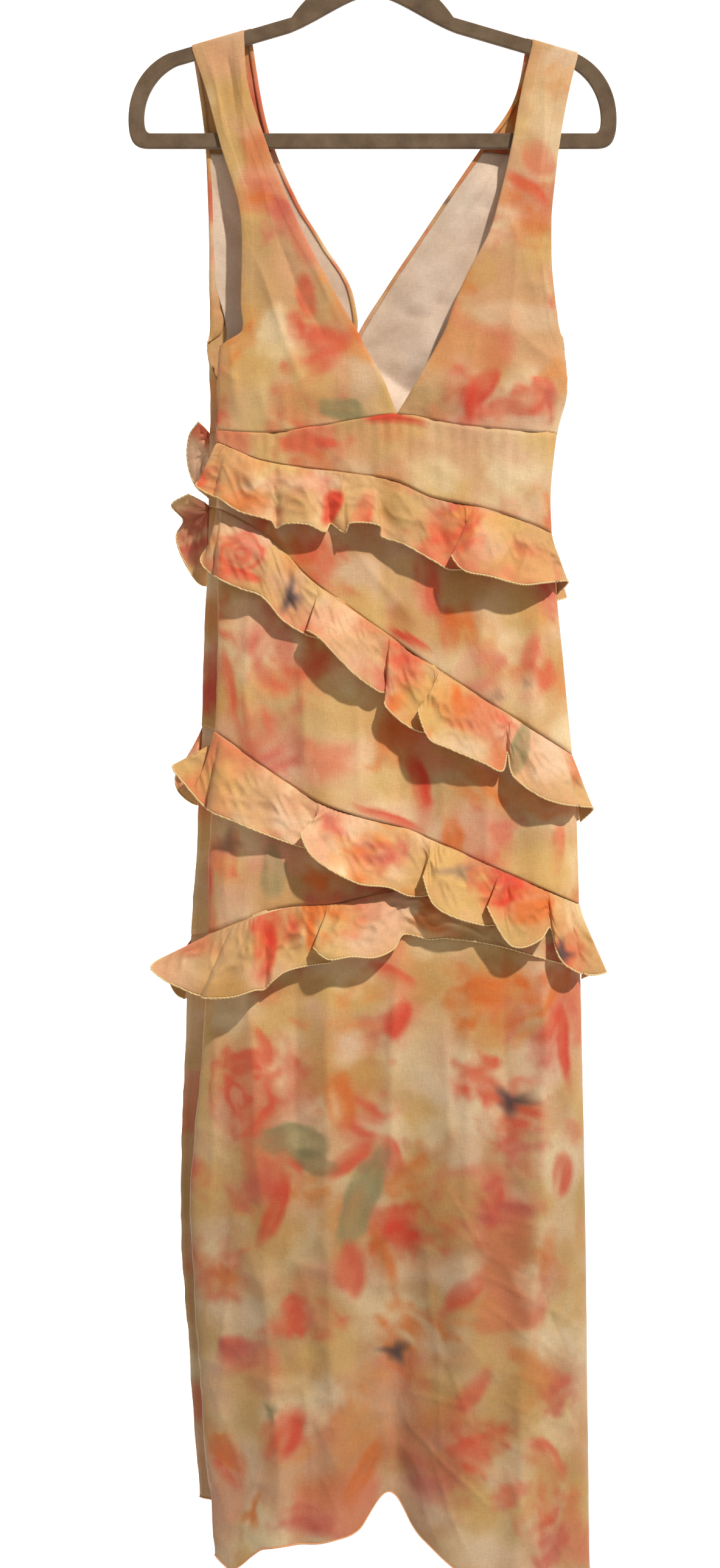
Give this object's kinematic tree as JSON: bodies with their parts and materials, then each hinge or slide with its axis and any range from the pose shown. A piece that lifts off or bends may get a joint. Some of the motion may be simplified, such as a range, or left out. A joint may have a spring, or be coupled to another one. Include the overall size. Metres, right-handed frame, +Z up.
{
  "type": "maxi dress on a hanger",
  "caption": "Sleeveless V-neck maxi dress with wide straps, slanting seams and stepped flounces in a blurred floral print, hanging flat on a slim flocked hanger.",
  "frame": {"origin": "inside top of the hanger's hook, where it bears on a rail", "axes": "+Z up, +X to the right of a viewer facing the dress's front, and the front faces -Y"},
  "size_m": [0.4468, 0.1233, 1.5346],
  "materials": {
    "printed_cloth": "light matt woven cloth in a blurred watercolour flower print of peach, coral, orange, olive and cream",
    "flounce_cloth": "the same print, single thickness, with a rolled hem overlocked in golden thread",
    "lining": "smooth plain blush lining, understitched at the neckline",
    "hanger_flock": "plastic frame covered in short taupe velvet flock",
    "hook_metal": "polished plated wire"
  },
  "bodies": {
    "root": {"bodice_front_left": "printed_cloth", "bodice_front_right": "printed_cloth", "bodice_back_left": "printed_cloth", "bodice_back_right": "printed_cloth", "waist_panel_front": "printed_cloth", "hip_panel_front": "printed_cloth", "thigh_panel_front": "printed_cloth", "wedge_panel_front": "printed_cloth", "skirt_panel_front": "printed_cloth", "waist_panel_back": "printed_cloth", "hip_panel_back": "printed_cloth", "thigh_panel_back": "printed_cloth", "wedge_panel_back": "printed_cloth", "skirt_panel_back": "printed_cloth", "flounce_1_front": "flounce_cloth", "flounce_2_front": "flounce_cloth", "flounce_3_front": "flounce_cloth", "flounce_4_front": "flounce_cloth", "flounce_1_back": "flounce_cloth", "flounce_2_back": "flounce_cloth", "flounce_3_back": "flounce_cloth", "flounce_4_back": "flounce_cloth", "lining_front_left": "lining", "lining_front_right": "lining", "lining_back_left": "lining", "lining_back_right": "lining", "hanger_frame": "hanger_flock", "hanger_hook": "hook_metal", "hanger_ferrule": "hook_metal"}
  },
  "joints": []
}
